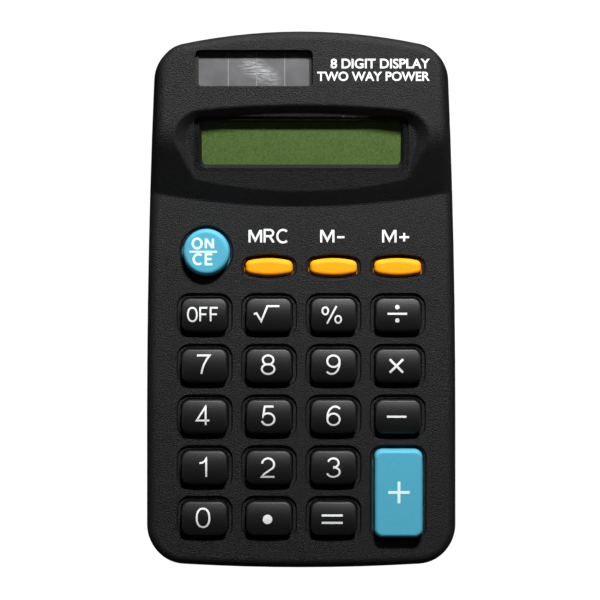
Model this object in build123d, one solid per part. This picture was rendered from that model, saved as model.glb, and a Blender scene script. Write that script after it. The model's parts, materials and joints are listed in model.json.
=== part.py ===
from build123d import *
import math
import os

# Pocket calculator with two-way power: a solar cell and one AA cell.
#
# Everything is drawn in the keypad frame: X to the right, Y towards the display end and Z square to the
# keypad, with Z = 0 on the keypad plane. The back is flat but slopes away from the keypad, so the last
# step turns every piece until the back lies on the table.

# Case outline on the parting plane, mm
length = 115.0
half_width = 33.1
side_straight_end = -25.0
side_radius = 1700.0
crown_radius = 122.0
bottom_radius = 420.0
crown_corner = 8.2
bottom_corner = 8.5

# Case heights
parting = -6.0
head_top = 7.0
back_near = -10.0
back_far = -15.1
front_taper = 8.0
rear_taper = 5.0
front_wall = 1.6
rear_wall = 1.5
rear_step = 0.12
top_edge_round = 2.0
back_edge_round = 1.5

# Slope between the keypad and the head, swept about a point far beyond the display end
slope_angle = 31.0
slope_foot = 19.65
slope_sweep = 168.0
slope_roll = 10.0
slope_hollow = 0.8

# Display: the floor of its recess is tilted towards the user, and its pieces are set out on that floor
display_tilt = 13.0
display_centre = (32.45, 4.1)
recess_draft = 45.0
recess_base = 1.0
recess_half_width = 20.8
recess_top = 34.45
recess_bottom = 20.0
recess_corner = 0.5
recess_brow_radius = 200.0
recess_round = 0.8
recess_edge_round = 0.9
pan_depth = 1.5
pan_wall = 1.5
lens_size = (44.7, 11.7, 0.35)
lens_corner = 1.7
lens_fit = 0.1
lens_sink = 0.05
aperture_size = (42.9, 10.1)
aperture_corner = 1.6
aperture_draft = 27.0
lcd_half_width = 23.0
lcd_top = 5.6
lcd_ledge = -7.2
lcd_rear_edge = -5.2
polariser = 0.15
lcd_glass = 0.7
lcd_gap = 0.05
ribbon_thickness = 0.1
ribbon_width = 40.0

# Solar cell
solar_centre = (-9.8, 48.0)
solar_opening = (24.4, 7.7)
solar_window_size = (25.6, 8.8, 0.6)
solar_window_sink = 0.5
solar_cell_size = (25.4, 8.6, 1.1)
solar_cell_sink = 1.45

# Keypad
column_pitch = 13.62
row_pitch = 10.72
top_row = -3.37
key_size = (9.7, 7.3)
key_corner = 1.8
key_rise = 2.0
key_crown = 9.0
key_crown_middle = 0.6
key_cross_crown = 45.0
key_front_round = 1.3
key_draft = 6.0
key_edge = 0.3
key_gap = 0.25
ledge_depth = 0.5
ledge_wall = 0.3
flange_lap = 0.65
flange_top = -1.65
flange_base = -2.4
memory_y = 6.77
memory_size = (10.05, 4.05)
memory_bow = 19.0
memory_end = 1.5
clear_centre = (-20.05, 9.95)
clear_diameter = 9.95
plus_centre = (20.5, -40.95)
plus_size = (10.3, 18.7)

# Rubber mat and circuit board
board_top = -4.6
board_thickness = 1.2
board_half_width = 30.3
board_ends = (-52.0, 23.0)
mat_base = 0.9
mat_half_width = 26.0
mat_ends = (-51.4, 16.6)
dome_radius = 3.75
small_dome_radius = 2.5
plunger_top = -2.45
stake_radius = 0.8
stake_head = 1.4

# Battery
cell_radius = 7.1
cell_body = 49.2
cell_nub = (2.6, 1.3)
cell_y = 45.7
cell_z = -5.75
cell_shift = 0.6
roof_inner = 7.5
roof_wall = 1.0
compartment = (-27.9, 27.4)
compartment_wall = 1.0
wire_radius = 0.35
coil_wire = 0.28
coil_radii = (3.7, 2.3)
coil_turns = 3

# Battery cover
cover_thickness = 1.3
cover_half_width = 25.6
cover_front = 37.4
cover_fit = 0.15
tongue = (0.65, 1.2)

# Case screws
screw_places = [(-28.8, -46.0), (28.8, -46.0), (-28.6, 29.0), (28.6, 29.0)]
screw_seat = -8.9
screw_head = (1.8, 1.4)
screw_radius = 1.0
screw_tip = -2.4
front_boss = 2.3
rear_boss = 2.9

sweep_centre = slope_foot + slope_sweep
back_tilt = math.degrees(math.atan((back_near - back_far) / length))
back_frame = Pos(0, -length / 2, back_near) * Rot(-back_tilt, 0, 0)
over = 60.0
display = Pos(0, *display_centre) * Rot(display_tilt, 0, 0)


# Case outline

def side_x(y, inset=0.0):
    """Half width of the case at a place along its length."""
    if y < side_straight_end:
        return half_width - inset
    return half_width - side_radius + math.sqrt((side_radius - inset) ** 2 - (y - side_straight_end) ** 2)


def crown_end(inset=0.0):
    """Where the crown would meet the right side, before the corner is rounded."""
    x = half_width
    for _ in range(8):
        y = length / 2 - crown_radius + math.sqrt((crown_radius - inset) ** 2 - x**2)
        x = side_x(y, inset)
    return x, y


def outline(inset=0.0):
    """The case outline on the parting plane, drawn in by an inset."""
    x, y = crown_end(inset)
    wide = half_width - inset
    low = -length / 2 + bottom_radius - math.sqrt((bottom_radius - inset) ** 2 - wide**2)
    middle = (side_straight_end + y) / 2
    edges = [ThreePointArc((-wide, low), (0, inset - length / 2), (wide, low))]
    for side in (-1, 1):
        start = (side * wide, side_straight_end)
        edges.append(Line((side * wide, low), start))
        edges.append(ThreePointArc(start, (side * side_x(middle, inset), middle), (side * x, y)))
    edges.append(ThreePointArc((-x, y), (0, length / 2 - inset), (x, y)))
    face = make_face(edges)
    face = fillet(face.vertices().group_by(Axis.Y)[-1], crown_corner - inset)
    return fillet(face.vertices().group_by(Axis.Y)[0], bottom_corner - inset)


def upper_prism(inset=0.0, base=parting):
    """The drafted case outline from the parting plane up past the head."""
    prism = Pos(0, 0, parting) * extrude(outline(inset), amount=head_top - parting + 2, taper=front_taper)
    if base < parting:
        prism += Pos(0, 0, base) * extrude(outline(inset), amount=parting - base)
    return prism


def lower_prism(inset=0.0):
    """The drafted case outline from the parting plane down past the back."""
    depth = parting - back_far + 3
    return Pos(0, 0, parting) * extrude(outline(inset), amount=depth, dir=(0, 0, -1), taper=rear_taper)


def under_face(depth=0.0):
    """Everything under the keypad, slope and head surfaces, taken down by a depth square to them."""
    shift = depth * math.tan(math.radians(slope_angle) / 2)
    foot = slope_sweep - shift
    crest = foot - head_top / math.tan(math.radians(slope_angle))
    near, far = slope_sweep + 90, slope_sweep - 60
    low, high = -40.0, head_top - depth
    profile = make_face(Polyline((far, low), (near, low), (near, -depth), (foot, -depth), (crest, high),
                                 (far, high), close=True))
    profile = fillet(profile.vertices().sort_by_distance((foot, -depth)).first, slope_hollow + depth)
    profile = fillet(profile.vertices().sort_by_distance((crest, high)).first, slope_roll - depth)
    upright = Pos(0, sweep_centre, 0) * Rot(90, 0, 0) * profile
    return revolve(upright, axis=Axis((0, sweep_centre, 0), (0, 0, 1)))


def above_back(height=0.0):
    """Everything above the sloping back, from a height square to it."""
    return back_frame * Pos(0, length / 2, height) * Box(
        2 * over, 3 * over, over, align=(Align.CENTER, Align.CENTER, Align.MIN))


def back_block(x_range, y_range, heights):
    """A block standing on the back plane, with Y measured along the case."""
    x0, x1 = x_range
    y0, y1 = y_range
    z0, z1 = heights
    block = Box(x1 - x0, y1 - y0, z1 - z0, align=Align.MIN)
    return back_frame * Pos(x0, y0 + length / 2, z0) * block


def plate(size, centre, bottom, corner):
    """A flat plate with rounded corners: its size, centre and underside."""
    shape = RectangleRounded(size[0], size[1], corner)
    return Pos(centre[0], centre[1], bottom) * extrude(shape, amount=size[2])


def block(x_range, y_range, z_range):
    """A block between three pairs of limits."""
    size = [b - a for a, b in (x_range, y_range, z_range)]
    return Pos(x_range[0], y_range[0], z_range[0]) * Box(*size, align=Align.MIN)


def post(place, radius, z_range):
    """A round post between two heights."""
    height = z_range[1] - z_range[0]
    return Pos(place[0], place[1], z_range[0]) * Cylinder(
        radius, height, align=(Align.CENTER, Align.CENTER, Align.MIN))


def cell_tube(radius, x_range):
    """A round bar on the battery's axis."""
    span = x_range[1] - x_range[0]
    bar = Rot(0, 90, 0) * Cylinder(radius, span, align=(Align.CENTER, Align.CENTER, Align.MIN))
    return Pos(x_range[0], cell_y, cell_z) * bar


# Key layout

def rounded_key(grow=0.0):
    return RectangleRounded(key_size[0] + 2 * grow, key_size[1] + 2 * grow, key_corner + grow)


def plus_key(grow=0.0):
    return RectangleRounded(plus_size[0] + 2 * grow, plus_size[1] + 2 * grow, key_corner + grow)


def clear_key(grow=0.0):
    return Circle(clear_diameter / 2 + grow)


def memory_key(grow=0.0):
    """A bowed rectangle with round ends."""
    x = memory_size[0] / 2 + grow
    top = memory_size[1] / 2 + grow
    side = top - memory_bow - grow + math.sqrt((memory_bow + grow) ** 2 - x**2)
    edges = [
        ThreePointArc((-x, side), (0, top), (x, side)),
        Line((x, side), (x, -side)),
        ThreePointArc((x, -side), (0, -top), (-x, -side)),
        Line((-x, -side), (-x, side)),
    ]
    face = make_face(edges)
    return fillet(face.vertices(), min(memory_end + grow, side * 0.97))


columns = [column_pitch * (i - 1.5) for i in range(4)]
rows = [top_row - row_pitch * i for i in range(5)]
grid = [
    ["key_off", "key_root", "key_percent", "key_divide"],
    ["key_7", "key_8", "key_9", "key_multiply"],
    ["key_4", "key_5", "key_6", "key_minus"],
    ["key_1", "key_2", "key_3"],
    ["key_0", "key_point", "key_equals"],
]
memory_names = ["key_memory_recall", "key_memory_minus", "key_memory_plus"]

keys = {name: (rounded_key, (columns[c], rows[r]))
        for r, line in enumerate(grid) for c, name in enumerate(line)}
keys.update({name: (memory_key, (columns[c + 1], memory_y)) for c, name in enumerate(memory_names)})
keys["key_on_clear"] = (clear_key, clear_centre)
keys["key_plus"] = (plus_key, plus_centre)

# How far the rim of each kind of opening stands out from its key
rims = {rounded_key: 1.1, plus_key: 0.9, clear_key: 0.8, memory_key: 0.85}

# Posts that hold the mat and board stand where four keys meet, clear of their flanges.
stakes = [(x, (rows[i] + rows[i + 1]) / 2) for x in (-column_pitch, 0, column_pitch) for i in (0, 2)]


# Keys

def flange(face):
    """The collar under the housing that keeps a key in."""
    return Pos(0, 0, flange_base) * extrude(face(flange_lap), amount=flange_top - flange_base)


def key_stem(face, top):
    """A key's sides: straight through the housing and drafted above it."""
    stem = Pos(0, 0, flange_base) * extrude(face(), amount=-flange_base)
    return stem + extrude(face(), amount=top, taper=key_draft)


def crown_profile():
    """A side view of what lies under a key's crown: highest behind the middle, and rounded off at the front."""
    front = -key_size[1] / 2
    back = key_size[1]
    middle = (key_crown_middle, key_rise - key_crown)
    front_height = middle[1] + math.sqrt(key_crown**2 - (front - middle[0]) ** 2)
    back_height = middle[1] + math.sqrt(key_crown**2 - (back - middle[0]) ** 2)
    edges = [
        ThreePointArc((front, front_height), (middle[0], key_rise), (back, back_height)),
        Line((back, back_height), (back, -over / 2)),
        Line((back, -over / 2), (front, -over / 2)),
        Line((front, -over / 2), (front, front_height)),
    ]
    face = make_face(edges)
    corner = face.vertices().sort_by_distance((front, front_height)).first
    return fillet(corner, key_front_round)


def under_crown():
    """The crown's side view turned about an axis far below the key, so the key is bowed both ways."""
    axis_height = key_rise - key_cross_crown
    profile = Plane.YZ * crown_profile()
    return revolve(profile, axis=Axis((0, 0, axis_height), (0, 1, 0)))


def rounded_top(key, radius):
    """Rounds the edge where a key's sides meet its top."""
    return fillet(key.faces().sort_by(Axis.Z)[-1].edges(), radius)


def square_cap():
    """A bowed key with a soft edge round its crown."""
    key = key_stem(rounded_key, key_rise + 0.5) & under_crown()
    crown = key.faces().filter_by(GeomType.TORUS)
    rim = [edge for edge in crown.edges() if sum(edge in face.edges() for face in crown) == 1]
    return fillet(rim, key_edge) + flange(rounded_key)


def flat_cap(face, rise, edge):
    return rounded_top(key_stem(face, rise), edge) + flange(face)


caps = {
    rounded_key: square_cap(),
    plus_key: flat_cap(plus_key, key_rise, 0.8),
    clear_key: flat_cap(clear_key, key_rise, 0.9),
    memory_key: flat_cap(memory_key, key_rise - 0.3, 1.1),
}
nodes = {name: Pos(x, y, 0) * caps[face] for name, (face, (x, y)) in keys.items()}


# Front housing

def display_recess(grow=0.0, bottom=0.0):
    """The display recess down to its tilted floor, grown by a wall: a bowed brow, open towards the slope."""
    x = recess_half_width + grow
    brow = recess_top + grow
    brow_end = brow - recess_brow_radius + math.sqrt(recess_brow_radius**2 - x**2)
    low = recess_bottom - grow
    edges = [
        ThreePointArc((-x, brow_end), (0, brow), (x, brow_end)),
        Line((x, brow_end), (x, low)),
        Line((x, low), (-x, low)),
        Line((-x, low), (-x, brow_end)),
    ]
    plan = make_face(edges)
    plan = fillet(plan.vertices().group_by(Axis.Y)[-1], recess_corner + grow)
    prism = Pos(0, 0, recess_base) * extrude(plan, amount=head_top + 1 - recess_base, taper=-recess_draft)
    return display.inverse() * prism & block((-over, over), (-over, over), (bottom, over))


def display_block(x_range, y_range, z_range):
    """A block set out on the tilted floor of the display recess."""
    return display * block(x_range, y_range, z_range)


def recess_cutter():
    """What the display recess takes away, with its floor blended into its walls."""
    cutter = display_recess()
    floor = cutter.faces().sort_by(Axis.Z)[0]
    return display * fillet(floor.edges().sort_by(Axis.Y)[1:], recess_round)


def recess_rim(body, skin):
    """The edges where the recess breaks through the head and the crest of the slope."""
    reach = recess_half_width + 6.0
    y0, y1 = display_centre[0] - 5.5, display_centre[0] + 12.5
    rim = ShapeList()
    for edge in body.edges():
        middle = edge @ 0.5
        beside_display = abs(middle.X) < reach and y0 < middle.Y < y1 and middle.Z > display_centre[1]
        if beside_display and min(face.distance_to(middle) for face in skin.faces()) < 1e-4:
            rim.append(edge)
    return rim


def display_seat():
    """The seat for the lens and the drafted opening over the LCD, in the recess floor."""
    seat = (lens_size[0] + 2 * lens_fit, lens_size[1] + 2 * lens_fit, 2.0)
    seat_bottom = -lens_sink - lens_size[2]
    opening = RectangleRounded(*aperture_size, aperture_corner)
    funnel = extrude(opening, amount=pan_depth, dir=(0, 0, -1), taper=aperture_draft)
    return display * (plate(seat, (0, 0), seat_bottom, lens_corner) + Pos(0, 0, seat_bottom) * funnel)


def key_openings():
    """Every opening in the keypad, each with a shallow ledge round it."""
    cuts = []
    for face, (x, y) in keys.values():
        ledge = extrude(face(rims[face] - ledge_wall), amount=2 * ledge_depth,
                        taper=-math.degrees(math.atan(ledge_wall / ledge_depth)))
        hole = Pos(0, 0, -over / 2) * extrude(face(key_gap), amount=over)
        cuts.append(Pos(x, y, 0) * (hole + Pos(0, 0, -ledge_depth) * ledge))
    return cuts


def outer_edges(solid):
    """The edges where the case sides meet the keypad, slope and head."""
    sides = [f for f in solid.faces()
             if f.bounding_box().min.Z < parting + 0.1 and f.bounding_box().max.Z > parting + 1]
    return ShapeList(e for f in sides for e in f.edges() if e.bounding_box().min.Z > parting + 1)


def front_housing():
    body = upper_prism() & under_face()
    skin = fillet(outer_edges(body), top_edge_round)
    body = skin - recess_cutter()
    body = fillet(recess_rim(body, skin), recess_edge_round)
    inside = upper_prism(front_wall, parting - 2) & under_face(front_wall)
    shell = body - inside

    guide = (lcd_half_width + 0.2, lcd_half_width + 1.0)
    guide_length = (lcd_rear_edge, lcd_top - 1)
    guide_height = (-pan_depth - 1.6, -pan_depth + 0.3)
    solar_rib = (solar_window_size[0] + 2.2, solar_window_size[1] + 2.2, 2.0)
    extras = [
        display * display_recess(pan_wall, -pan_depth),
        plate(solar_rib, solar_centre, head_top - front_wall - 1.2, 1.5),
        display_block((-guide[1], -guide[0]), guide_length, guide_height),
        display_block(guide, guide_length, guide_height),
    ]
    for x, y in screw_places:
        extras.append(post((x, y), front_boss, (parting, head_top)))
    for place in stakes:
        extras.append(post(place, stake_radius, (board_top - board_thickness, 0)))
        extras.append(post(place, stake_head, (board_top - board_thickness - 0.6, board_top - board_thickness)))
    extras.append(lip())
    for piece in extras:
        shell += piece & body_below(body)

    cuts = [
        display_seat(),
        plate((*solar_opening, 5), solar_centre, head_top - front_wall, 1.0),
        plate((solar_window_size[0] + 0.2, solar_window_size[1] + 0.2, 4), solar_centre,
              head_top - solar_window_sink - 4, 1.0),
        cell_tube(roof_inner + roof_wall + 0.3, (-over, over)) & upper_prism(front_wall, parting - 3),
    ]
    cuts += key_openings()
    for x, y in screw_places:
        cuts.append(post((x, y), screw_radius + 0.05, (parting - 3, screw_tip + 0.3)))
    return shell - cuts


def body_below(body):
    """The case body carried on below the parting plane, for the lip and stakes."""
    return body + Pos(0, 0, parting - 3) * extrude(outline(rear_wall + rear_step + 0.1), amount=3)


def lip():
    """A lip inside the parting line that locates the two housings, clear of bosses and battery."""
    out, inside = outline(rear_wall + rear_step + 0.1), outline(rear_wall + rear_step + 0.8)
    ring = Pos(0, 0, parting - 0.9) * extrude(out - inside, amount=0.9 + front_wall)
    keep = block((-over, over), (-over, 35.0), (-over, over))
    ring = ring & keep
    return ring - [post(place, rear_boss + 0.2, (-over, over)) for place in screw_places]


# Rear housing and battery cover

def rear_body():
    """The rear housing's outer shape, rounded along the back edge."""
    body = lower_prism(rear_step) & above_back()
    back = body.faces().sort_by(Axis.Z)[0]
    return fillet(back.edges(), back_edge_round)


def compartment_box(grow):
    """The battery compartment: a trough with a half-round roof, grown by a wall thickness."""
    x_range = (compartment[0] - grow, compartment[1] + grow)
    radius = roof_inner + grow
    trough = block(x_range, (cell_y - radius, cell_y + radius), (back_far - 2, cell_z))
    return cell_tube(radius, x_range) + trough


def cover_shape(grow):
    """The cover's outline on the back, with side tongues and two front tabs, grown by a clearance."""
    low, wide = tongue
    top = cover_thickness + grow
    end = length / 2 + 5
    half = cover_half_width + grow
    shape = back_block((-half, half), (cover_front - grow, end), (-2, top))
    shape += back_block((-half - wide, half + wide), (cover_front - grow, end), (low - grow / 2, top))
    for x in (-14.0, 14.0):
        shape += back_block((x - 3 - grow, x + 3 + grow), (cover_front - wide - grow, cover_front),
                            (low - grow / 2, top))
    return shape


def rear_housing(body):
    inside = lower_prism(rear_wall + rear_step) & above_back(rear_wall)
    cavity = inside + upper_prism(front_wall + 0.3)
    walls = compartment_box(compartment_wall) & (body + (cavity & under_face(front_wall + 0.3)))
    for x, y in screw_places:
        walls += post((x, y), rear_boss, (back_far - 2, parting)) & body
    rails = back_block((-29.5, -26.0), (37.0, 54.0), (cover_thickness + cover_fit, 2.6))
    rails += back_block((26.0, 29.5), (37.0, 54.0), (cover_thickness + cover_fit, 2.6))
    shell = (body - inside) + walls

    hollow = compartment_box(0.0) & (upper_prism(rear_wall) + lower_prism(rear_wall))
    shell = (shell - hollow) + (rails & body)
    cuts = [cover_shape(cover_fit)]
    for x, y in screw_places:
        cuts.append(post((x, y), screw_head[0] + 0.2, (back_far - 3, screw_seat)))
        cuts.append(post((x, y), screw_radius + 0.15, (back_far - 3, parting + 1)))
    cuts += [*battery_wires(wire_radius + 0.2).solids(), *solar_wires(wire_radius + 0.2).solids()]
    return shell - cuts


def battery_cover(body):
    cover = cover_shape(0.0) & (body + back_block((-30, 30), (cover_front - 3, 50), (0, cover_thickness)))
    cover = cover & above_back()
    grip_y = 46.0
    for i in range(6):
        y = grip_y + 1.5 * i
        cover -= back_block((-7, 7), (y, y + 0.7), (-1, 0.35))
    arrow = make_face(Polyline((-3, grip_y - 4.5), (3, grip_y - 4.5), (0, grip_y - 1.5), close=True))
    return cover - back_frame * Pos(0, length / 2, -1) * extrude(arrow, amount=1.35)


# Display and solar cell

def on_display(y, z):
    """Where a place on the tilted display, along it and square to it, lies in the keypad frame."""
    spot = (display * Pos(0, y, z)).position
    return spot.Y, spot.Z


def display_parts():
    """The lens, the glass cell with its films, and the ribbon down to the board."""
    lens = plate(lens_size, (0, 0), -lens_sink - lens_size[2], lens_corner)
    lens = display * fillet(lens.faces().sort_by(Axis.Z)[-1].edges(), lens_size[2] / 3)

    film_x = lcd_half_width - 0.4
    film_y = (lcd_rear_edge, lcd_top - 0.3)
    z0 = -pan_depth - lcd_gap
    z1 = z0 - polariser
    z2 = z1 - lcd_glass
    z3 = z2 - lcd_glass
    z4 = z3 - polariser
    ribbon_z = z2 - ribbon_thickness / 2
    board_z = board_top + ribbon_thickness / 2
    path = [on_display(lcd_rear_edge - 0.3, ribbon_z), on_display(lcd_ledge - 0.2, ribbon_z),
            (23.6, board_z), (20.6, board_z)]
    section = trace(Polyline(*path), line_width=ribbon_thickness)
    ribbon = Pos(-ribbon_width / 2) * extrude(Plane.YZ * section, amount=ribbon_width)
    half = (-lcd_half_width, lcd_half_width)
    film = (-film_x, film_x)
    return {
        "display_window": lens,
        "lcd_polariser": display_block(film, film_y, (z1, z0)),
        "lcd_front_glass": display_block(half, (lcd_ledge, lcd_top), (z2, z1)),
        "lcd_rear_glass": display_block(half, (lcd_rear_edge, lcd_top), (z3, z2)),
        "lcd_reflector": display_block(film, film_y, (z4, z3)),
        "display_ribbon": ribbon,
    }


def solar_parts():
    window_bottom = head_top - solar_window_sink - solar_window_size[2]
    cell_bottom = head_top - solar_cell_sink - solar_cell_size[2]
    return {
        "solar_window": plate(solar_window_size, solar_centre, window_bottom, 0.9),
        "solar_cell": plate(solar_cell_size, solar_centre, cell_bottom, 0.3),
    }


# Board and mat

def board_outline():
    x, (y0, y1) = board_half_width, board_ends
    sheet = Pos(0, (y0 + y1) / 2) * RectangleRounded(2 * x, y1 - y0, 4.0)
    return sheet - [Pos(*place) * Circle(rear_boss + 0.3) for place in screw_places]


def circuit_board():
    board = Pos(0, 0, board_top - board_thickness) * extrude(board_outline(), amount=board_thickness)
    return board - [post(place, stake_radius + 0.1, (-over, over)) for place in stakes]


def dome(centre, radius):
    """A collapsing dome with its plunger: the solid part and the hollow under it."""
    base = board_top + mat_base
    tip = radius - 1.1
    rise = plunger_top - base
    solid = Pos(0, 0, base) * Cone(radius, tip, rise, align=(Align.CENTER, Align.CENTER, Align.MIN))
    hollow = Pos(0, 0, board_top) * Cone(radius - 0.5, tip - 0.4, plunger_top - board_top - 1.0,
                                        align=(Align.CENTER, Align.CENTER, Align.MIN))
    return Pos(*centre) * solid, Pos(*centre) * hollow


def rubber_dome_mat():
    y0, y1 = mat_ends
    sheet = Pos(0, (y0 + y1) / 2) * RectangleRounded(2 * mat_half_width, y1 - y0, 3.0)
    mat = Pos(0, 0, board_top) * extrude(sheet, amount=mat_base)
    domes, hollows = [], []
    for face, (x, y) in keys.values():
        solid, hollow = dome((x, y, 0), small_dome_radius if face is memory_key else dome_radius)
        domes.append(solid)
        hollows.append(hollow)
    mat = mat + domes
    return mat - hollows - [post(place, stake_radius + 0.3, (-over, over)) for place in stakes]


def board_components():
    """What is soldered under the board: the chip's resin cap, a capacitor and three resistors."""
    under = board_top - board_thickness
    chip_width, chip_height = 5.5, 1.5
    ball = (chip_width**2 + chip_height**2) / (2 * chip_height)
    cap = Pos(0, -19.5, under - chip_height + ball) * Sphere(ball)
    cap = cap & block((-over, over), (-over, over), (-over, under))

    can = Rot(0, 90, 0) * Cylinder(2.0, 7.0)
    can = fillet(can.edges(), 0.4)
    capacitor = Pos(9.0, 14.0, under - 2.05) * can
    for y in (13.0, 15.0):
        capacitor += block((5.0, 5.6), (y - 0.25, y + 0.25), (under - 2.3, under))

    resistors = []
    for y in (5.0, 9.0, 13.0):
        body = Rot(0, 90, 0) * Cylinder(0.85, 3.6)
        body = fillet(body.edges(), 0.3)
        resistor = Pos(-14.0, y, under - 0.95) * body
        leads = block((-17.5, -10.5), (y - 0.2, y + 0.2), (under - 1.15, under - 0.75))
        for x in (-17.5, -10.9):
            leads += block((x, x + 0.4), (y - 0.2, y + 0.2), (under - 1.15, under))
        resistors.append(resistor + leads)
    return {"chip_encapsulant": cap, "capacitor": capacitor, "resistors": Compound(resistors)}


# Battery, contacts and wires

def battery_cell():
    nub_radius, nub_length = cell_nub
    start = cell_shift - (cell_body + nub_length) / 2
    can = Rot(0, 90, 0) * Cylinder(cell_radius, cell_body, align=(Align.CENTER, Align.CENTER, Align.MIN))
    can = fillet(can.edges(), 0.5)
    nub = Pos(cell_body, 0, 0) * Rot(0, 90, 0) * Cylinder(
        nub_radius, nub_length, align=(Align.CENTER, Align.CENTER, Align.MIN))
    nub = fillet(nub.faces().sort_by(Axis.X)[-1].edges(), 0.4)
    return Pos(start, cell_y, cell_z) * (can + nub)


def wire(points, radius, turn=1.0):
    """A thin wire laid along straight runs with rounded turns."""
    path = FilletPolyline(*points, radius=turn)
    return sweep(Plane(origin=path @ 0, z_dir=path % 0) * Circle(radius), path=path)


def contact_spring():
    """A conical coil of springy wire, pressed against the cell's flat end."""
    start = compartment[0] + coil_wire
    end = cell_shift - (cell_body + cell_nub[1]) / 2 - coil_wire
    steps = 8 * coil_turns
    points = []
    for i in range(steps + 1):
        share = i / steps
        reach = coil_radii[0] + (coil_radii[1] - coil_radii[0]) * share
        angle = math.radians(45.0 * i)
        points.append((start + (end - start) * share, cell_y + reach * math.cos(angle),
                       cell_z + reach * math.sin(angle)))
    return wire(points, coil_wire, coil_radii[1] * 0.85)


def contact_plate():
    """A sprung leaf against the cell's nub, folded back to a flat that stands on the end wall."""
    thick = 0.35
    wall = compartment[1]
    touch = cell_shift + (cell_body + cell_nub[1]) / 2
    half = 4.0
    y0, y1 = cell_y - half, cell_y + half
    leaf = block((touch, touch + thick), (y0, y1), (cell_z - 3.0, cell_z + 4.0))
    flat = block((wall - thick, wall), (y0, y1), (cell_z - 3.5, cell_z + 4.0))
    fold = block((touch, wall), (y0, y1), (cell_z + 4.0 - thick, cell_z + 4.0))
    return leaf + flat + fold


def battery_wires(radius=wire_radius):
    """Two wires from the battery contacts to the underside of the board."""
    under = board_top - board_thickness - wire_radius - 0.01
    wires = []
    for x in (compartment[0] + 1.2, compartment[1] - 0.9):
        side = math.copysign(25.0, x)
        wires.append(wire([(x, 39.2, -7.0), (x, 34.0, -7.0), (side, 27.0, -6.6), (side, 23.5, under),
                           (side, 20.5, under)], radius))
    return Compound(wires)


def solar_wires(radius=wire_radius):
    """Two wires from the back of the solar cell, round the battery's roof, to the top of the board."""
    on_board = board_top + wire_radius + 0.01
    cell_back = head_top - solar_cell_sink - solar_cell_size[2] - wire_radius - 0.1
    wires = []
    for i in (0, 1):
        x = -24.4 - 0.9 * i
        wires.append(wire([(-21.0 + 3 * i, 44.6 + i, cell_back), (-25.5 - 0.9 * i, 42.2 + i, 3.0),
                           (-26.4 - 0.6 * i, 39.0 + 0.9 * i, 0.6), (x, 34.0, -2.8), (x, 25.0, -3.6),
                           (x, 21.0, on_board), (x, 19.5, on_board)], radius))
    return Compound(wires)


def case_screws():
    """Four self-tapping screws with cross-recessed heads."""
    radius, height = screw_head
    head = post((0, 0), radius, (screw_seat - height, screw_seat))
    head = fillet(head.faces().sort_by(Axis.Z)[0].edges(), 0.5)
    shank = post((0, 0), screw_radius, (screw_seat, screw_tip))
    shank = chamfer(shank.faces().sort_by(Axis.Z)[-1].edges(), 0.4)
    screw = head + shank
    slot = Pos(0, 0, screw_seat - height) * Box(2.2, 0.5, 1.6)
    screw = screw - slot - Rot(0, 0, 90) * slot
    return Compound([Pos(x, y, 0) * screw for x, y in screw_places])


nodes["front_housing"] = front_housing()
rear = rear_body()
nodes["rear_housing"] = rear_housing(rear)
nodes["battery_cover"] = battery_cover(rear)
nodes.update(display_parts())
nodes.update(solar_parts())
nodes["circuit_board"] = circuit_board()
nodes["rubber_dome_mat"] = rubber_dome_mat()
nodes.update(board_components())
nodes["battery_cell"] = battery_cell()
nodes["contact_spring"] = contact_spring()
nodes["contact_plate"] = contact_plate()
nodes["battery_wires"] = battery_wires()
nodes["solar_wires"] = solar_wires()
nodes["case_screws"] = case_screws()

# Lay the back on the table and centre the case over the origin.
lay_flat = Rot(back_tilt, 0, 0)
case = Compound([lay_flat * nodes["front_housing"], lay_flat * nodes["rear_housing"]]).bounding_box()
place = Pos(-case.center().X, -case.center().Y, -case.min.Z) * lay_flat

os.makedirs("parts", exist_ok=True)
for name, shape in nodes.items():
    export_step(place * shape, f"parts/{name}.step")
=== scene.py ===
"""Looks of the pocket calculator: legends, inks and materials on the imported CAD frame.

Lengths are in metres. "Keypad frame" means the row frame turned so that Z is square to the keypad: the
case is a wedge, so its keypad and head lean a few degrees towards the user.
"""

import json
import math

import bpy
from mathutils import Matrix, Vector
from mathutils.bvhtree import BVHTree


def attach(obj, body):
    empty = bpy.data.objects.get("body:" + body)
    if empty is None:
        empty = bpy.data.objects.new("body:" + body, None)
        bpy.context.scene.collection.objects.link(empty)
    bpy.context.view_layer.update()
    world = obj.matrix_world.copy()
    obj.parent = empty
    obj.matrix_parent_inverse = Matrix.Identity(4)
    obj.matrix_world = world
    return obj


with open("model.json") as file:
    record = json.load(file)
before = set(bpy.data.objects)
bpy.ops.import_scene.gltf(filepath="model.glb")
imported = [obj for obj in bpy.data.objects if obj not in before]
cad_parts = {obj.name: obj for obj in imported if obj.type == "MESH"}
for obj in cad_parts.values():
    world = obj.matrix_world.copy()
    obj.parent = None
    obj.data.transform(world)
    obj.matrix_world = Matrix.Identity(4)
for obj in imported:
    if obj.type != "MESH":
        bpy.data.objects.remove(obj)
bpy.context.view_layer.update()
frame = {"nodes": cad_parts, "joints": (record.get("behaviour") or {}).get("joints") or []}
nodes = frame["nodes"]
MM = 0.001

# Legends, mm
DIGIT = (3.05, 4.3)
DIGIT_STROKE = 0.39
INK_RISE = 0.02
INK_DEPTH = 0.03
LAYER_RISE = 0.003
STEP = 0.2
MEMORY_RISE = 6.60
MEMORY_HEIGHT = 3.1
MEMORY_STROKE = 0.44
CLEAR_STROKE = 0.5
CLEAR_BAR_HALF = 2.9
CLEAR_BAR_STROKE = 0.42
HEAD_MARGIN = 6.4
# Shares: the figure 1 against the others, the cosine that limits a mitre, the font's own boldness,
# and the gap between the letters of the round key
ONE_WIDTH = 0.6
SHARPEST_MITRE = 0.45
HEAD_BOLD = 0.02
CLEAR_GAP = 0.4

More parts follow.
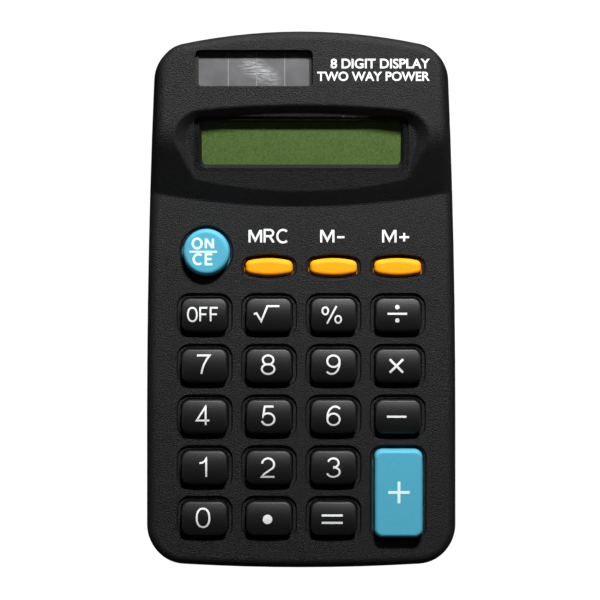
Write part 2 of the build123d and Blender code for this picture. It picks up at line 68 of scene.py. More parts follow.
# Printing under the solar window and on its cell, mm
MASK_OUTER = ((25.4, 8.6), 0.8)
MASK_INNER = ((23.13, 7.05), 0.6)
SOLAR_LINES = (-5.42, 0.47, 6.35)
SOLAR_LINE_WIDTH = 0.2
SOLAR_LINE_END = 0.3
PRINT_GAP = 0.01
# The painted glare on the solar cell, a pale streaky reflection painted into its colour: its place from the
# cell's middle, its half sizes and its slant
GLARE_PLACE = (0.9, -0.3)
GLARE_SIZE = (6.0, 2.6)
GLARE_SLANT = -33.0
# The streaks of that painted glare: their slant, and how many to the metre along and across them
GLARE_STREAK_SLANT = -20.0
GLARE_STREAKS = (500.0, 2600.0, 500.0)

# View and light, metres, watts and degrees
CAMERA_DISTANCE = 0.400
VIEW_HEIGHT = 0.1288
VIEW_DEPTH = 0.006
KEY_RISE = 0.002
VIEW_SHIFT = (-0.00026, -0.00013)
KEY_PLACE = (0.055, 0.29, 0.25)
KEY_SIZE = (0.08, 0.035)
KEY_POWER = 3.4
# How bright the surroundings are at each height, from straight down (-1) to straight up (1)
DOME = [(-1.0, 0.02), (-0.02, 0.02), (0.08, 0.065), (0.35, 0.03), (0.7, 0.01)]
# Soft low lights round the case: place, size and power
FILLS = {
    "left_fill": ((-0.5, -0.05, 0.05), (0.30, 0.12), 0.26),
    "right_fill": ((0.5, -0.05, 0.05), (0.30, 0.12), 0.26),
    "front_fill": ((0.0, -0.5, 0.04), (0.30, 0.12), 0.06),
}
AIM = (0, 0, 0.01)
# Two soft suns for the floor alone, the weaker one with a shadow: name, strength, shadow
FLOOR_SUNS = [("floor_light", 3.35, False), ("floor_shade", 0.35, True)]
SUN_SPREAD = 50
FLOOR_REACH = 30.0
FLOOR_DROP = 0.00002

# Where each legend sits from the centre of its key, mm
PLACES = {
    "7": (-0.19, 0.34), "8": (-0.16, 0.34), "9": (-0.08, 0.34), "4": (-0.24, 0.30), "5": (-0.16, 0.30),
    "6": (0.02, 0.30), "1": (-0.29, 0.11), "2": (-0.16, 0.11), "3": (-0.03, 0.11), "0": (-0.24, 0.25),
    "off": (-0.19, 0.19), "root": (-0.41, 0.35), "percent": (-0.39, 0.11), "divide": (-0.21, 0.34),
    "multiply": (-0.39, 0.08), "minus": (-0.34, 0.12), "equals": (-0.29, -0.01), "point": (-0.29, -0.05),
    "plus": (0.07, 0.32),
}


# Keypad frame

def keypad_axes():
    """Rows that turn a point of the row frame into the keypad frame."""
    press = next(j["axis"] for j in frame["joints"] if j["name"] == "press_5")
    up = -Vector(press).normalized()
    right = Vector((1, 0, 0))
    return Matrix((right, up.cross(right), up))


TO_KEYPAD = keypad_axes()
FROM_KEYPAD = TO_KEYPAD.transposed()


def keypad_box(name):
    """Lowest and highest corner of a CAD node in the keypad frame."""
    points = [TO_KEYPAD @ v.co for v in nodes[name].data.vertices]
    lo = Vector(min(p[i] for p in points) for i in range(3))
    hi = Vector(max(p[i] for p in points) for i in range(3))
    return lo, hi


def centre_of(name):
    lo, hi = keypad_box(name)
    return (lo + hi) / 2


def surface(name):
    """A CAD node's surface in the keypad frame, for laying ink on it."""
    mesh = nodes[name].data
    points = [TO_KEYPAD @ v.co for v in mesh.vertices]
    return BVHTree.FromPolygons(points, [tuple(p.vertices) for p in mesh.polygons])


def height_on(tree, x, y):
    """Height of the surface straight below a point well above it."""
    hit = tree.ray_cast(Vector((x, y, 1.0)), Vector((0, 0, -1)))[0]
    return hit.z if hit else None


# Making pieces

def add_mesh(name, points, faces, material, body, smooth=False):
    """A new piece with keypad-frame points, riding on a body."""
    mesh = bpy.data.meshes.new(name)
    mesh.from_pydata([FROM_KEYPAD @ Vector(p) for p in points], [], faces)
    mesh.validate()
    mesh.update()
    mesh.materials.append(material)
    piece = bpy.data.objects.new(name, mesh)
    bpy.context.scene.collection.objects.link(piece)
    for polygon in mesh.polygons:
        polygon.use_smooth = smooth
    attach(piece, body)
    return piece


def divided(points, step):
    """The same line with points no further apart than a step."""
    line = [Vector(points[0])]
    for a, b in zip(points, points[1:]):
        a, b = Vector(a), Vector(b)
        count = max(1, math.ceil((b - a).length / step))
        line += [a.lerp(b, i / count) for i in range(1, count + 1)]
    return line


def stroke_sides(line, width, closed):
    """Left and right edges of a stroke, mitred at its corners."""
    left, right = [], []
    count = len(line)
    for i, point in enumerate(line):
        before = line[i - 1] if i or closed else None
        after = line[(i + 1) % count] if i + 1 < count or closed else None
        runs = [(a, b) for a, b in ((before, point), (point, after)) if a is not None and b is not None]
        ways = [(b - a).normalized() for a, b in runs]
        normals = [Vector((-w.y, w.x)) for w in ways]
        middle = sum(normals, Vector((0, 0))).normalized()
        reach = width / 2 / max(SHARPEST_MITRE, middle.dot(normals[0]))
        left.append(point + middle * reach)
        right.append(point - middle * reach)
    return left, right


def ink(name, strokes, centre, node, body, material, width, shift=(0.0, 0.0)):
    """Printed strokes draped on a CAD node. Each stroke is (points, closed) in mm about the centre."""
    tree = surface(node)
    points, faces = [], []
    for order, (stroke, closed) in enumerate(strokes):
        line = divided(stroke + stroke[:1] if closed else stroke, STEP)
        if closed:
            line = line[:-1]
        left, right = stroke_sides(line, width, closed)
        rise = (INK_RISE + LAYER_RISE * order) * MM
        first = len(points)
        for a, b in zip(left, right):
            for p in (a, b):
                x, y = centre[0] + (p.x + shift[0]) * MM, centre[1] + (p.y + shift[1]) * MM
                z = height_on(tree, x, y)
                points += [(x, y, z + rise), (x, y, z + rise - INK_DEPTH * MM)]
        count = len(line)
        for i in range(count if closed else count - 1):
            a, b = first + 4 * i, first + 4 * ((i + 1) % count)
            faces += [(a, a + 2, b + 2, b), (a + 1, a, b, b + 1), (a + 2, a + 3, b + 3, b + 2)]
        if not closed:
            last = first + 4 * (count - 1)
            faces += [(first, first + 1, first + 3, first + 2), (last + 1, last, last + 2, last + 3)]
    return add_mesh(name, points, faces, material, body)


# Strokes of the legends: figures and letters in a box one unit high, signs in mm

def arc(cx, cy, rx, ry, start, end, steps=20):
    turn = [math.radians(start + (end - start) * i / steps) for i in range(steps + 1)]
    return [(cx + rx * math.cos(t), cy + ry * math.sin(t)) for t in turn]


def ring(cx, cy, rx, ry, steps=36, square=2.0):
    """A closed oval; square above 2 makes its sides straighter."""
    points = []
    for i in range(steps):
        c, s = math.cos(2 * math.pi * i / steps), math.sin(2 * math.pi * i / steps)
        points.append((cx + rx * math.copysign(abs(c) ** (2 / square), c),
                       cy + ry * math.copysign(abs(s) ** (2 / square), s)))
    return points


def bar(x0, y0, x1, y1):
    return ([(x0, y0), (x1, y1)], False)


def six():
    bowl = (ring(0.33, 0.31, 0.33, 0.31), True)
    back = (arc(0.42, 0.40, 0.42, 0.60, 190, 52), False)
    return [back, bowl]


GLYPHS = {
    "0": [(ring(0.33, 0.5, 0.33, 0.5, square=2.3), True)],
    "1": [([(0.13, 0.74), (0.26, 0.77), (0.37, 0.86), (0.42, 1.0), (0.42, 0.0)], False)],
    "2": [(arc(0.33, 0.68, 0.32, 0.32, 172, -38) + [(0.14, 0.17), (0.0, 0.0), (0.67, 0.0)], False)],
    "3": [(arc(0.32, 0.76, 0.28, 0.24, 165, -90) + arc(0.32, 0.26, 0.34, 0.26, 90, -165), False)],
    "4": [([(0.68, 0.25), (0.0, 0.25), (0.48, 1.0), (0.48, 0.0)], False)],
    "5": [([(0.60, 1.0), (0.14, 1.0), (0.05, 0.46)] + arc(0.31, 0.32, 0.34, 0.32, 140, -162), False)],
    "6": six(),
    "7": [([(0.0, 1.0), (0.66, 1.0), (0.50, 0.78), (0.36, 0.50), (0.27, 0.22), (0.23, 0.0)], False)],
    "8": [(ring(0.33, 0.755, 0.28, 0.245), True), (ring(0.33, 0.265, 0.33, 0.265), True)],
    "9": [([(0.66 - x, 1.0 - y) for x, y in line], closed) for line, closed in six()],
}


def fitted(strokes, size, stroke_width):
    """Strokes scaled so that the printed figure, its width included, fills a size in mm about its middle."""
    xs = [x for line, _ in strokes for x, _ in line]
    ys = [y for line, _ in strokes for _, y in line]
    sx = (size[0] - stroke_width) / (max(xs) - min(xs))
    sy = (size[1] - stroke_width) / (max(ys) - min(ys))
    mx, my = (max(xs) + min(xs)) / 2, (max(ys) + min(ys)) / 2
    return [([((x - mx) * sx, (y - my) * sy) for x, y in line], closed) for line, closed in strokes]


def dot(cx, cy, radius):
    """A filled dot, drawn as a ring as thick as it is wide."""
    return (ring(cx, cy, radius / 2, radius / 2, 24), True)


def off_letters():
    """The three letters of the off key, in mm."""
    half, gap = 1.42, 2.3
    letters = [(ring(-gap, 0, 0.95, half, square=2.2), True)]
    for x in (-0.65, 1.55):
        letters += [([(x, -half), (x, half), (x + 1.5, half)], False), bar(x, 0.05, x + 1.3, 0.05)]
    return letters


SYMBOLS = {
    "off": (off_letters(), 0.37),
    "root": ([([(-2.75, -0.1), (-2.2, 0.12), (-1.2, -1.55), (0.1, 1.6), (2.6, 1.6)], False)], 0.40),
    "percent": ([(ring(-1.35, 0.85, 0.62, 0.75), True), (ring(1.35, -0.95, 0.62, 0.75), True),
                 bar(-1.0, -1.85, 1.0, 1.85)], 0.36),
    "divide": ([bar(-2.05, 0, 2.05, 0)], 0.44),
    "multiply": ([bar(-1.4, -1.4, 1.4, 1.4), bar(-1.4, 1.4, 1.4, -1.4)], 0.48),
    "minus": ([bar(-2.05, 0, 2.05, 0)], 0.44),
    "equals": ([bar(-2.2, 0.78, 2.2, 0.78), bar(-2.2, -0.78, 2.2, -0.78)], 0.45),
    "plus": ([bar(-2.25, 0, 2.25, 0), bar(0, -2.3, 0, 2.3)], 0.60),
}
LETTERS = {
    "M": [bar(0, 0, 0, 1), bar(0.84, 0, 0.84, 1), ([(0.05, 0.98), (0.42, 0.16), (0.79, 0.98)], False)],
    "R": [([(0, 0), (0, 1)] + arc(0.38, 0.75, 0.24, 0.25, 90, -90) + [(0, 0.5)], False),
          ([(0.36, 0.5), (0.66, 0)], False)],
    "C": [(arc(0.42, 0.5, 0.42, 0.5, 48, 312), False)],
    "O": [(ring(0.42, 0.5, 0.42, 0.5), True)],
    "N": [bar(0, 0, 0, 1), bar(0.66, 0, 0.66, 1), bar(0.03, 0.96, 0.63, 0.04)],
    "E": [([(0.58, 1), (0, 1), (0, 0), (0.6, 0)], False), bar(0, 0.52, 0.53, 0.52)],
    "-": [bar(0, 0.42, 0.5, 0.42)],
    "+": [bar(0, 0.42, 0.66, 0.42), bar(0.33, 0.09, 0.33, 0.75)],
}
DOTS = {"divide": ([(0, 1.4), (0, -1.4)], 0.46), "point": ([(0, 0)], 1.0)}


# Materials

def new_material(name, color, roughness, **sockets):
    """A Principled material and its shader node."""
    material = bpy.data.materials.new(name)
    material.use_nodes = True
    shader = material.node_tree.nodes["Principled BSDF"]
    shader.inputs["Base Color"].default_value = (*color, 1.0)
    shader.inputs["Roughness"].default_value = roughness
    for socket, value in sockets.items():
        shader.inputs[socket.replace("_", " ")].default_value = value
    return material, shader


def add_node(material, kind, **values):
    """A shader node with its settings and socket values."""
    node = material.node_tree.nodes.new(kind)
    for key, value in values.items():
        if hasattr(node, key):
            setattr(node, key, value)
        else:
            node.inputs[key.replace("_", " ")].default_value = value
    return node


def link(material, out, into):
    material.node_tree.links.new(out, into)


def object_noise(material, scale, detail=2.0, roughness=0.5):
    """Noise fixed to the object, so it is the same from every side."""
    place = add_node(material, "ShaderNodeTexCoord")
    noise = add_node(material, "ShaderNodeTexNoise", Scale=scale, Detail=detail, Roughness=roughness)
    link(material, place.outputs["Object"], noise.inputs["Vector"])
    return noise


def ramp(material, value, stops):
    """Turns a value into a colour, with stops of (position, colour)."""
    node = add_node(material, "ShaderNodeValToRGB")
    while len(node.color_ramp.elements) < len(stops):
        node.color_ramp.elements.new(0.5)
    for element, (position, color) in zip(node.color_ramp.elements, stops):
        element.position = position
        element.color = (*color, 1.0)
    link(material, value, node.inputs["Fac"])
    return node


def grain(material, shader, scale, strength, depth):
    """Fine spark-eroded texture as a bump."""
    noise = object_noise(material, scale, detail=3.0, roughness=0.6)
    bump = add_node(material, "ShaderNodeBump", Strength=strength, Distance=depth)
    link(material, noise.outputs["Fac"], bump.inputs["Height"])
    link(material, bump.outputs["Normal"], shader.inputs["Normal"])
    return noise


def grey(level):
    return (level, level, level)


def textured(name, low, high, roughness, specular, scale, strength, depth):
    """Moulded plastic with a fine spark-eroded texture, its colour shifting a little with the grain."""
    material, shader = new_material(name, high, roughness, Specular_IOR_Level=specular)
    noise = grain(material, shader, scale, strength, depth)
    tone = ramp(material, noise.outputs["Fac"], [(0.35, low), (0.65, high)])
    link(material, tone.outputs["Color"], shader.inputs["Base Color"])
    return material


def clear_sheet(name, tint, roughness=0.1):
    """Thin clear plastic or glass: what is behind it shows, under a reflection that grows at a slant."""
    material = bpy.data.materials.new(name)
    material.use_nodes = True
    tree = material.node_tree
    tree.nodes.remove(tree.nodes["Principled BSDF"])
    clear = add_node(material, "ShaderNodeBsdfTransparent")
    clear.inputs["Color"].default_value = (*tint, 1.0)
    shine = add_node(material, "ShaderNodeBsdfGlossy")
    shine.inputs["Roughness"].default_value = roughness
    facing = add_node(material, "ShaderNodeLayerWeight")
    share = ramp(material, facing.outputs["Facing"], [(0.0, grey(0.04)), (0.6, grey(0.08)), (1.0, grey(0.45))])
    mix = add_node(material, "ShaderNodeMixShader")
    link(material, share.outputs["Color"], mix.inputs["Fac"])
    link(material, clear.outputs["BSDF"], mix.inputs[1])
    link(material, shine.outputs["BSDF"], mix.inputs[2])
    link(material, mix.outputs["Shader"], tree.nodes["Material Output"].inputs["Surface"])
    return material


def along_x(material, socket, name, stops):
    """Bands across a CAD node: each stop is where it starts, as a share of its length in X, and its colour."""
    xs = [v.co.x for v in nodes[name].data.vertices]
    place = add_node(material, "ShaderNodeTexCoord")
    split = add_node(material, "ShaderNodeSeparateXYZ")
    share = add_node(material, "ShaderNodeMapRange")
    share.inputs["From Min"].default_value = min(xs)
    share.inputs["From Max"].default_value = max(xs)
    link(material, place.outputs["Object"], split.inputs["Vector"])
    link(material, split.outputs["X"], share.inputs["Value"])
    tone = ramp(material, share.outputs["Result"], stops)
    tone.color_ramp.interpolation = "CONSTANT"
    link(material, tone.outputs["Color"], socket)


def mottled(name, low, high, scale, roughness, **sockets):
    """A surface whose colour wanders between two tones."""
    material, shader = new_material(name, high, roughness, **sockets)
    noise = object_noise(material, scale, detail=4.0)
    tone = ramp(material, noise.outputs["Fac"], [(0.3, low), (0.7, high)])
    link(material, tone.outputs["Color"], shader.inputs["Base Color"])
    return material


def painted_glare(material):
    """A painted reflection on the solar cell: pale streaks of glare painted into its colour, fading out from
    its middle.
    """
    shader = material.node_tree.nodes["Principled BSDF"]
    under = shader.inputs["Base Color"].links[0].from_socket
    xs = [v.co.x for v in nodes["solar_cell"].data.vertices]
    ys = [v.co.y for v in nodes["solar_cell"].data.vertices]
    x = (min(xs) + max(xs)) / 2 + GLARE_PLACE[0] * MM
    y = (min(ys) + max(ys)) / 2 + GLARE_PLACE[1] * MM
    place = add_node(material, "ShaderNodeTexCoord")
    patch = add_node(material, "ShaderNodeMapping", vector_type="TEXTURE")
    patch.inputs["Location"].default_value = (x, y, 0.0)
    patch.inputs["Rotation"].default_value = (0.0, 0.0, math.radians(GLARE_SLANT))
    patch.inputs["Scale"].default_value = (GLARE_SIZE[0] * MM, GLARE_SIZE[1] * MM, 1.0)
    reach = add_node(material, "ShaderNodeVectorMath", operation="LENGTH")
    streaks = add_node(material, "ShaderNodeMapping")
    streaks.inputs["Rotation"].default_value = (0.0, 0.0, math.radians(GLARE_STREAK_SLANT))
    streaks.inputs["Scale"].default_value = GLARE_STREAKS
    noise = add_node(material, "ShaderNodeTexNoise", Scale=1.0, Detail=5.0, Roughness=0.7)
    fade = ramp(material, reach.outputs["Value"], [(0.0, grey(1.0)), (0.5, grey(0.45)), (1.0, grey(0.0))])
    marks = ramp(material, noise.outputs["Fac"], [(0.42, grey(0.0)), (0.66, grey(1.0))])
    share = add_node(material, "ShaderNodeMath", operation="MULTIPLY")
    mix = add_node(material, "ShaderNodeMix", data_type="RGBA")
    link(material, place.outputs["Object"], patch.inputs["Vector"])
    link(material, patch.outputs["Vector"], reach.inputs[0])
    link(material, place.outputs["Object"], streaks.inputs["Vector"])
    link(material, streaks.outputs["Vector"], noise.inputs["Vector"])
    link(material, fade.outputs["Color"], share.inputs[0])
    link(material, marks.outputs["Color"], share.inputs[1])
    sockets = {socket.identifier: socket for socket in mix.inputs}
    result = next(socket for socket in mix.outputs if socket.identifier == "Result_Color")
    link(material, share.outputs["Value"], sockets["Factor_Float"])
    link(material, under, sockets["A_Color"])
    # The pale colour of the painted glare
    sockets["B_Color"].default_value = (0.78, 0.77, 0.80, 1.0)
    link(material, result, shader.inputs["Base Color"])


case_black = textured("case_black", grey(0.001), grey(0.010), 0.53, 0.235, 3800, 1.0, 0.00024)
key_black = textured("key_black", grey(0.002), grey(0.006), 0.50, 0.45, 4200, 0.5, 0.00007)
key_blue = textured("key_blue", (0.058, 0.31, 0.43), (0.066, 0.34, 0.47), 0.6, 0.3, 3500, 0.15, 0.00004)
key_orange = textured("key_orange", (0.86, 0.30, 0.002), (0.92, 0.33, 0.003), 0.60, 0.18, 1800, 0.10, 0.00004)
white_ink, _ = new_material("white_ink", (0.76, 0.77, 0.78), 0.45)
pale_ink, _ = new_material("pale_ink", (0.62, 0.80, 0.82), 0.5)
lens_clear = clear_sheet("lens_clear", (0.96, 0.97, 0.96))
glass_clear = clear_sheet("glass_clear", (0.93, 0.96, 0.94))
lcd_green = mottled("lcd_green", (0.072, 0.124, 0.031), (0.138, 0.212, 0.059), 2200, 0.45)
solar_dark = mottled("solar_dark", (0.120, 0.114, 0.126), (0.165, 0.155, 0.17), 260, 0.3)
# Pale streaks of glare, a painted reflection, mixed into the solar cell's colour
painted_glare(solar_dark)
mask_black, _ = new_material("mask_black", grey(0.008), 0.6)
solar_line, _ = new_material("solar_line", (0.27, 0.26, 0.28), 0.4)
board_tan, _ = new_material("board_tan", (0.42, 0.28, 0.11), 0.5)
ribbon_amber, _ = new_material("ribbon_amber", (0.55, 0.36, 0.12), 0.3)
resin_black, _ = new_material("resin_black", grey(0.01), 0.15)
rubber_grey, _ = new_material("rubber_grey", (0.50, 0.50, 0.48), 0.55, Subsurface_Weight=0.2)
sleeve_blue, _ = new_material("sleeve_blue", (0.02, 0.05, 0.16), 0.3)
nickel, _ = new_material("nickel", (0.72, 0.69, 0.63), 0.25, Metallic=1.0)
zinc_steel, _ = new_material("zinc_steel", (0.55, 0.55, 0.56), 0.35, Metallic=1.0)
wire_red, _ = new_material("wire_red", (0.45, 0.012, 0.012), 0.35)

# The cell: nickel ends, a black sleeve and a copper band
jacket, jacket_shader = new_material("jacket", (0.03, 0.03, 0.035), 0.3)
along_x(jacket, jacket_shader.inputs["Base Color"], "battery_cell",
        [(0.0, (0.72, 0.69, 0.63)), (0.012, (0.02, 0.02, 0.024)), (0.70, (0.62, 0.36, 0.13)),
         (0.965, (0.72, 0.69, 0.63))])
along_x(jacket, jacket_shader.inputs["Metallic"], "battery_cell",
        [(0.0, grey(1.0)), (0.012, grey(0.0)), (0.70, grey(0.8)), (0.965, grey(1.0))])

# The resistors: tinned leads, and brown, black, orange and gold rings on a tan body
TAN, TIN = (0.62, 0.45, 0.25), (0.62, 0.60, 0.56)
RINGS = [(0.33, 0.38, (0.20, 0.05, 0.01)), (0.44, 0.49, grey(0.01)), (0.55, 0.60, (0.65, 0.20, 0.01)),
         (0.69, 0.73, (0.55, 0.40, 0.12))]
ring_stops = [stop for start, end, color in RINGS for stop in ((start, color), (end, TAN))]
resistor_tan, resistor_shader = new_material("resistor_tan", TAN, 0.35)
along_x(resistor_tan, resistor_shader.inputs["Base Color"], "resistors",
        [(0.0, TIN), (0.24, TAN), *ring_stops, (0.76, TIN)])

# The battery's wires: the one at its flat end is black
wire_pair, pair_shader = new_material("wire_pair", (0.45, 0.012, 0.012), 0.35)
along_x(wire_pair, pair_shader.inputs["Base Color"], "battery_wires",
        [(0.0, grey(0.012)), (0.5, (0.45, 0.012, 0.012))])

PAINT = {
    "front_housing": case_black, "rear_housing": case_black, "battery_cover": case_black,
    "display_window": lens_clear, "solar_window": lens_clear, "lcd_front_glass": glass_clear,
    "lcd_rear_glass": glass_clear, "lcd_polariser": lcd_green, "lcd_reflector": lcd_green,
    "display_ribbon": ribbon_amber, "solar_cell": solar_dark, "circuit_board": board_tan,
    "chip_encapsulant": resin_black, "capacitor": sleeve_blue, "resistors": resistor_tan,
    "rubber_dome_mat": rubber_grey, "battery_cell": jacket, "contact_spring": nickel, "contact_plate": nickel,
    "battery_wires": wire_pair, "solar_wires": wire_red, "case_screws": zinc_steel,
}


def paint_nodes():
    """Gives every CAD node its material."""
    for name, node in nodes.items():
        material = PAINT.get(name, key_black)
        if name in ("key_plus", "key_on_clear"):
            material = key_blue
        if name.startswith("key_memory"):
            material = key_orange
        node.data.materials.clear()
        node.data.materials.append(material)


# Legends

def key_legends():
    """Figures and signs, each printed on its own key."""
    figures = {}
    for digit, strokes in GLYPHS.items():
        width = DIGIT[0] * (ONE_WIDTH if digit == "1" else 1.0)
        figures[digit] = (fitted(strokes, (width, DIGIT[1]), DIGIT_STROKE), DIGIT_STROKE)
    rounds = {sign: ([dot(x, y, radius) for x, y in places], radius) for sign, (places, radius) in DOTS.items()}
    for kind, marks in (("legend", figures), ("legend", SYMBOLS), ("dots", rounds)):
        for sign, (strokes, width) in marks.items():
            key = f"key_{sign}"
            color, slot = (pale_ink, "key_blue") if sign == "plus" else (white_ink, "key_black")
            ink(f"{kind}_{sign}", strokes, centre_of(key), key, key, color, width, PLACES[sign])


def word(text, size, stroke, gap=0.26):
    """Strokes of a word, fitted to a printed size in mm."""
    strokes, start = [], 0.0
    for letter in text:
        for line, closed in LETTERS[letter]:
            strokes.append(([(x + start, y) for x, y in line], closed))
        start += max(x for line, _ in LETTERS[letter] for x, _ in line) + gap
    return fitted(strokes, size, stroke)


def lettering(name, text, size, centre, node, body, bold=0.0):
    """Printed words on a flat face, a sheet without thickness, scaled to a width and height in mm."""
    curve = bpy.data.curves.new(name, "FONT")
    curve.body = text
    curve.offset = bold
    curve.resolution_u = 6
    writer = bpy.data.objects.new(name, curve)
    bpy.context.scene.collection.objects.link(writer)
    bpy.context.view_layer.update()
    written = writer.evaluated_get(bpy.context.evaluated_depsgraph_get())
    shape = bpy.data.meshes.new_from_object(written)
    bpy.data.objects.remove(writer)
    xs = [v.co.x for v in shape.vertices]
    ys = [v.co.y for v in shape.vertices]
    sx, sy = size[0] * MM / (max(xs) - min(xs)), size[1] * MM / (max(ys) - min(ys))
    mx, my = (max(xs) + min(xs)) / 2, (max(ys) + min(ys)) / 2
    tree = surface(node)
    points = []
    for v in shape.vertices:
        x, y = centre[0] + (v.co.x - mx) * sx, centre[1] + (v.co.y - my) * sy
        points.append((x, y, height_on(tree, x, y) + INK_RISE * MM))
    faces = [tuple(p.vertices) for p in shape.polygons]
    bpy.data.meshes.remove(shape)
    return add_mesh(name, points, faces, white_ink, body)


def case_legends():
    """Printing on the housing and on the round key."""
    for name, text, width, shift in (("recall", "MRC", 8.35, -0.17), ("minus", "M-", 5.35, -0.13),
                                     ("plus", "M+", 5.9, -0.37)):
        ink(f"legend_memory_{name}", word(text, (width, MEMORY_HEIGHT), MEMORY_STROKE),
            centre_of(f"key_memory_{name}"), "front_housing", "root", white_ink, MEMORY_STROKE,
            (shift, MEMORY_RISE))
    head = keypad_box("front_housing")[1]
    right = head.x - HEAD_MARGIN * MM
    for name, text, size, drop in (("legend_digits", "8 DIGIT DISPLAY", (20.6, 2.05), 8.5),
                                   ("legend_power", "TWO WAY POWER", (23.4, 1.95), 11.15)):
        lettering(name, text, size, (right - size[0] / 2 * MM, head.y - drop * MM), "front_housing", "root",
                  HEAD_BOLD)
    key = "key_on_clear"
    for name, text, size, shift in (("on", "ON", (4.75, 2.55), (-0.67, 1.81)),
                                    ("ce", "CE", (4.45, 2.6), (-0.62, -1.5))):
        ink(f"legend_{name}", word(text, size, CLEAR_STROKE, CLEAR_GAP), centre_of(key), key, key, pale_ink,
            CLEAR_STROKE, shift)
    ink("legend_on_bar", [bar(-CLEAR_BAR_HALF, 0, CLEAR_BAR_HALF, 0)], centre_of(key), key, key, pale_ink,
        CLEAR_BAR_STROKE, (-0.57, 0.08))


def round_rectangle(size, corner, steps=6):
    """Points round a rectangle with round corners, in mm about its middle."""
    points = []
    for turn, (sx, sy) in enumerate(((1, 1), (-1, 1), (-1, -1), (1, -1))):
        points += arc(sx * (size[0] / 2 - corner), sy * (size[1] / 2 - corner), corner, corner,
                      90 * turn, 90 * turn + 90, steps)
    return points


def solar_mask():
    """The black border printed under the solar window."""
    lo, hi = keypad_box("solar_window")
    x0, y0, top = (lo.x + hi.x) / 2, (lo.y + hi.y) / 2, lo.z - PRINT_GAP * MM
    outer, inner = round_rectangle(*MASK_OUTER), round_rectangle(*MASK_INNER)
    loops = [(outer, top), (inner, top), (inner, top - INK_DEPTH * MM), (outer, top - INK_DEPTH * MM)]
    points = [(x0 + x * MM, y0 + y * MM, z) for loop, z in loops for x, y in loop]
    count = len(outer)
    faces = []
    for i in range(count):
        j = (i + 1) % count
        for a in range(4):
            b = (a + 1) % 4
            faces.append((a * count + i, a * count + j, b * count + j, b * count + i))
    add_mesh("solar_mask", points, faces, mask_black, "root")


def solar_lines():
    """The grey lines that divide the solar cell into four, each a flat sheet just above it."""
    lo, hi = keypad_box("solar_cell")
    middle = centre_of("solar_window").x
    low, high = lo.y + SOLAR_LINE_END * MM, hi.y - SOLAR_LINE_END * MM
    z = hi.z + PRINT_GAP * MM
    for i, x in enumerate(SOLAR_LINES):
        left = middle + (x - SOLAR_LINE_WIDTH / 2) * MM
        right = middle + (x + SOLAR_LINE_WIDTH / 2) * MM
        points = [(left, low, z), (right, low, z), (right, high, z), (left, high, z)]
        add_mesh(f"solar_line_{i + 1}", points, [(0, 1, 2, 3)], solar_line, "root")


# Floor, light and camera

def area_light(name, place, target, size, power):
    """A soft rectangular lamp turned towards a point."""
    data = bpy.data.lights.new(name, "AREA")
    data.shape = "RECTANGLE"
    data.size, data.size_y = size
    data.energy = power
    lamp = bpy.data.objects.new(name, data)
    bpy.context.scene.collection.objects.link(lamp)
    lamp.location = place
    lamp.rotation_mode = "QUATERNION"
    lamp.rotation_quaternion = (Vector(target) - Vector(place)).to_track_quat("-Z", "Y")
    return lamp


def light_only(lamp, targets, state):
    """Makes a lamp light nothing but the targets, or everything but them."""
    group = bpy.data.collections.new(f"{lamp.name}_on")
    for target in targets:
        group.objects.link(target)
    for linked in group.collection_objects:
        linked.light_linking.link_state = state
    lamp.light_linking.receiver_collection = group


def pale_floor():
    """A plain floor a hair below the back, so that the two never share a plane."""
    corners = [(-1, -1), (1, -1), (1, 1), (-1, 1)]
    mesh = bpy.data.meshes.new("floor")
    mesh.from_pydata([(x * FLOOR_REACH, y * FLOOR_REACH, -FLOOR_DROP) for x, y in corners], [], [(0, 1, 2, 3)])
    floor = bpy.data.objects.new("floor", mesh)
    bpy.context.scene.collection.objects.link(floor)
    pale, _ = new_material("floor_pale", grey(0.93), 0.8)
    mesh.materials.append(pale)
    floor.visible_diffuse = False
    floor.visible_glossy = False
    return floor


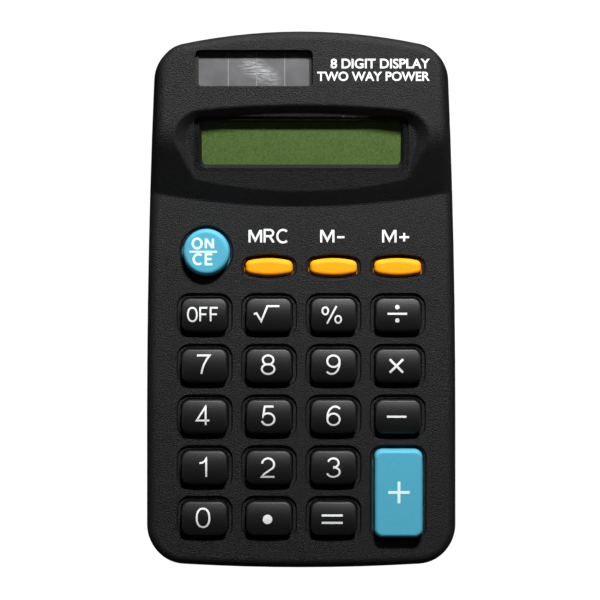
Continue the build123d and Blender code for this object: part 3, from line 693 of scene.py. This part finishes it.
def surroundings():
    """A dim world whose brightness depends on height alone."""
    world = bpy.data.worlds.new("studio")
    bpy.context.scene.world = world
    world.use_nodes = True
    dome = world.node_tree
    place = dome.nodes.new("ShaderNodeTexCoord")
    split = dome.nodes.new("ShaderNodeSeparateXYZ")
    tone = dome.nodes.new("ShaderNodeValToRGB")
    dome.links.new(place.outputs["Generated"], split.inputs["Vector"])
    height = dome.nodes.new("ShaderNodeMapRange")
    height.inputs["From Min"].default_value = -1.0
    dome.links.new(split.outputs["Z"], height.inputs["Value"])
    dome.links.new(height.outputs["Result"], tone.inputs["Fac"])
    while len(tone.color_ramp.elements) < len(DOME):
        tone.color_ramp.elements.new(0.5)
    for element, (sine, level) in zip(tone.color_ramp.elements, DOME):
        element.position = (sine + 1) / 2
        element.color = (*grey(level), 1.0)
    dome.links.new(tone.outputs["Color"], dome.nodes["Background"].inputs["Color"])


def studio():
    """The floor, the surroundings and the lamps."""
    floor = pale_floor()
    surroundings()
    light_only(area_light("key_light", KEY_PLACE, AIM, KEY_SIZE, KEY_POWER), [floor], "EXCLUDE")
    unfilled = [floor, nodes["display_window"], nodes["solar_window"]]
    for name, (spot, size, power) in FILLS.items():
        light_only(area_light(name, spot, AIM, size, power), unfilled, "EXCLUDE")
    for name, strength, shadow in FLOOR_SUNS:
        sun = bpy.data.lights.new(name, "SUN")
        sun.energy = strength
        sun.angle = math.radians(SUN_SPREAD)
        sun.use_shadow = shadow
        over_floor = bpy.data.objects.new(name, sun)
        bpy.context.scene.collection.objects.link(over_floor)
        light_only(over_floor, [floor], "INCLUDE")
    bpy.context.scene.view_settings.view_transform = "Standard"


def camera():
    """Looks straight down on the keypad."""
    data = bpy.data.cameras.new("camera")
    data.sensor_width = 36.0
    data.lens = data.sensor_width / 2 / (VIEW_HEIGHT / 2 / (CAMERA_DISTANCE + VIEW_DEPTH))
    data.clip_start, data.clip_end = 0.01, 100.0
    cam = bpy.data.objects.new("camera", data)
    bpy.context.scene.collection.objects.link(cam)
    lo, hi = keypad_box("front_housing")
    keypad_top = keypad_box("key_5")[1].z - KEY_RISE
    place = Vector(((lo.x + hi.x) / 2 + VIEW_SHIFT[0], (lo.y + hi.y) / 2 + VIEW_SHIFT[1],
                    keypad_top + CAMERA_DISTANCE))
    cam.location = FROM_KEYPAD @ place
    cam.rotation_mode = "QUATERNION"
    cam.rotation_quaternion = FROM_KEYPAD.to_quaternion()
    bpy.context.scene.camera = cam


paint_nodes()
key_legends()
case_legends()
solar_mask()
solar_lines()
studio()
camera()
